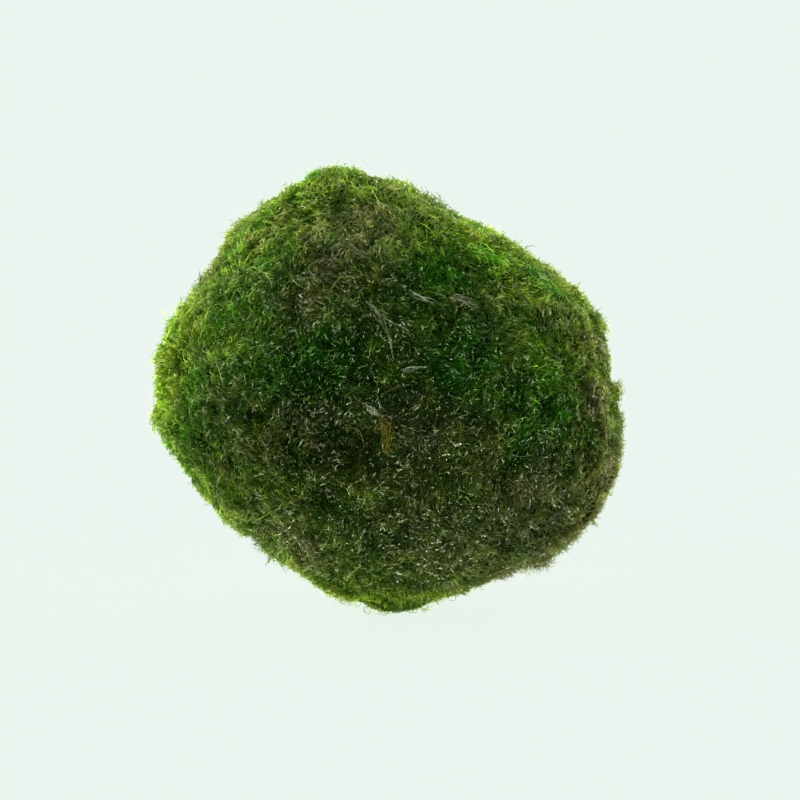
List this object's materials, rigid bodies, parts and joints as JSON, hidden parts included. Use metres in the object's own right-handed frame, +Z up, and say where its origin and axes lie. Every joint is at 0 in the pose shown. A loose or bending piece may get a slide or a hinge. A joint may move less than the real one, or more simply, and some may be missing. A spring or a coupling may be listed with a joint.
{
  "type": "marimo moss ball",
  "caption": "Lumpy felted ball of filamentous green alga that rests on a small flat spot; a loose decoration for an aquarium or a jar.",
  "frame": {"origin": "centre of the ball's footprint, on the surface that it rests on", "axes": "+Z up; +X to the right of the picture's view, which looks along +Y"},
  "size_m": [0.0454, 0.0419, 0.0437],
  "materials": {
    "moss": "felt of fine wet filaments, dark green to olive brown, lighter yellow-green at the tips"
  },
  "bodies": {
    "root": {"moss_ball": "moss"}
  },
  "joints": []
}
